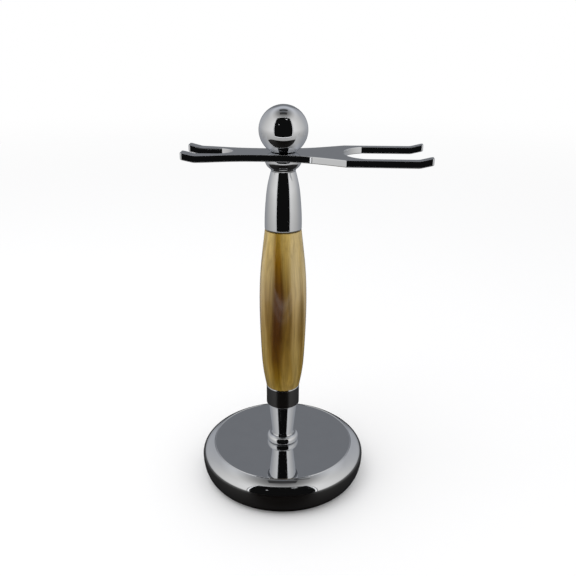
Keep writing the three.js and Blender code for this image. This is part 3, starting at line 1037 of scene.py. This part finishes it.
# margin round the opening, glow, and how much nearer to the stand than OPENING_DEPTH each card is
OPENING_CARDS = {
    "card_seam": (0.058, 0.20, 0.002),
    "card_lip": (0.034, 1.1, 0.004),
    "card_opening": (0.0, 0.006, 0.006),
}
LAMP_GLOW = 1.6
LAMP_DEPTH = OPENING_DEPTH + 0.008
# centre and half size of each lamp that shows in the opening, across and up
LAMPS = {
    "card_lamp_high": ((0.194, 0.838), (0.050, 0.022)),
    "card_lamp_low": ((-0.194, 0.446), (0.012, 0.012)),
}
VENT_GLOW = 0.05
VENT_HEIGHT = 0.80
VENT_ACROSS = (-0.145, 0.145)
VENTS = {"card_vent_near": (-0.118, 0.015), "card_vent_far": (0.123, 0.25)}    # near and far edge

TABLE_HEIGHT = -0.0005       # just under the stand
TABLE_HALF_WIDTH = 0.24
TABLE_FRONT = -0.175
TABLE_CURVE = 0.11           # how far back the front edge curves towards the table's sides
TABLE_BACK = 0.12


def glow_material():
    """Emission whose colour comes from the card's own points."""
    material = bpy.data.materials.new("card_glow")
    material.use_nodes = True
    tree = material.node_tree
    tree.nodes.clear()
    colour = add_node(tree, "ShaderNodeAttribute", attribute_name="glow").outputs["Color"]
    emission = add_node(tree, "ShaderNodeEmission", {"Color": colour}).outputs[0]
    output = add_node(tree, "ShaderNodeOutputMaterial")
    tree.links.new(emission, output.inputs["Surface"])
    material.cycles.emission_sampling = "NONE"
    return material


CARD_GLOW = glow_material()


def add_surround(name, points, faces, material):
    """Mesh in the room that only reflections see."""
    mesh = bpy.data.meshes.new(name)
    mesh.from_pydata(points, [], faces)
    mesh.materials.append(material)
    surround = bpy.data.objects.new(name, mesh)
    bpy.context.scene.collection.objects.link(surround)
    surround.matrix_world = room
    only_seen_by(surround, "glossy")
    return mesh


def add_glow(mesh, glows):
    """One glow, as linear (r, g, b), for each point of the mesh."""
    colours = [[*glow, 1.0] for glow in glows]
    attribute = mesh.attributes.new("glow", "FLOAT_COLOR", "POINT")
    attribute.data.foreach_set("color", np.array(colours, np.float32).ravel())


def add_card(name, corners, glow):
    mesh = add_surround(name, corners, [(0, 1, 2, 3)], CARD_GLOW)
    add_glow(mesh, [[glow] * 3] * 4)


def add_opening_card(name, margin, glow, forward):
    """Upright card shaped like the opening, larger all round by a margin."""
    depth = OPENING_DEPTH + forward
    low, high = OPENING_BOTTOM - margin, OPENING_TOP + margin
    low_half = OPENING_HALF_WIDTH + OPENING_SPREAD * low + margin
    high_half = OPENING_HALF_WIDTH + OPENING_SPREAD * high + margin
    add_card(name, [(-low_half, depth, low), (low_half, depth, low), (high_half, depth, high),
                    (-high_half, depth, high)], glow)


def add_lamp_card(name, centre, half):
    left, right = centre[0] - half[0], centre[0] + half[0]
    low, high = centre[1] - half[1], centre[1] + half[1]
    add_card(name, [(left, LAMP_DEPTH, low), (right, LAMP_DEPTH, low), (right, LAMP_DEPTH, high),
                    (left, LAMP_DEPTH, high)], LAMP_GLOW)


def dome_glow(azimuth, elevation):
    """Brightness of the tent, by degrees round from the front and degrees up."""
    walls = np.interp(azimuth, *WALL_GLOW)
    overhead = np.interp(elevation, *OVERHEAD_GLOW)
    upward = np.interp(elevation, *OVERHEAD_SHARE)
    return (walls + (overhead - walls) * upward) * np.interp(elevation, *LOW_DIMMING)


def dome_point(turn, climb):
    """Place and tinted glow of a point of the tent, by degrees round and up."""
    azimuth, elevation = math.radians(turn), math.radians(climb)
    way = Vector((math.sin(azimuth) * math.cos(elevation), -math.cos(azimuth) * math.cos(elevation),
                  math.sin(elevation)))
    from_front = min(turn, 360 - turn)
    cooling = np.interp(from_front, COOLING, (0.0, 1.0))
    glow = dome_glow(from_front, climb)
    tinted = [glow * (warm + (cool - warm) * cooling) for warm, cool in zip(WARM, COOL)]
    return DOME_CENTRE + way * DOME_RADIUS, tinted


def add_dome():
    """Light tent all round: bright at the sides, darker and cooler behind, and darker overhead."""
    turns = range(0, 360, DOME_STEP)
    climbs = range(DOME_STEP - 90, 90, DOME_STEP)
    lit_points = [dome_point(turn, climb) for climb in climbs for turn in turns]
    points = [place for place, glow in lit_points]
    glows = [glow for place, glow in lit_points]
    points.append(DOME_CENTRE + Vector((0, 0, DOME_RADIUS)))
    glows.append([dome_glow(0, 90)] * 3)
    wide, apex = len(turns), len(points) - 1
    faces = []
    for low in range(0, apex - wide, wide):
        faces += [(low + i, low + (i + 1) % wide, low + wide + (i + 1) % wide, low + wide + i)
                  for i in range(wide)]
    faces += [(apex - wide + i, apex - wide + (i + 1) % wide, apex) for i in range(wide)]
    add_glow(add_surround("light_tent", points, faces, CARD_GLOW), glows)


def table_material():
    """Dark polished wood of the table that the stand mirrors."""
    material, tree, surface = start_material("dark_table")
    grain = noise(tree, millimetres(tree, (60, 9, 9)), 1.0, 3.0, 0.5)
    tint = blend_colour(tree, grain, (0.0045, 0.0035, 0.003), (0.007, 0.0055, 0.0045))
    tree.links.new(tint, surface.inputs["Base Color"])
    surface.inputs["Roughness"].default_value = 0.38
    surface.inputs["Specular IOR Level"].default_value = 0.25
    return material


def add_table():
    """Table top whose front edge is rounded."""
    front = arc((0, TABLE_FRONT + TABLE_CURVE), (TABLE_HALF_WIDTH, TABLE_CURVE), 180, 360, steps=24)
    outline = front + [(TABLE_HALF_WIDTH, TABLE_BACK), (-TABLE_HALF_WIDTH, TABLE_BACK)]
    points = [(x, y, TABLE_HEIGHT) for x, y in outline]
    add_surround("dark_table", points, [range(len(points))], table_material())


def add_surroundings():
    add_dome()
    for name, edges in VENTS.items():
        add_card(name, level_corners(VENT_ACROSS, edges, VENT_HEIGHT), VENT_GLOW)
    for name, (margin, glow, forward) in OPENING_CARDS.items():
        add_opening_card(name, margin, glow, forward)
    add_table()
    for name, (centre, half) in LAMPS.items():
        add_lamp_card(name, centre, half)


add_surroundings()
bpy.context.scene.view_settings.view_transform = "Standard"
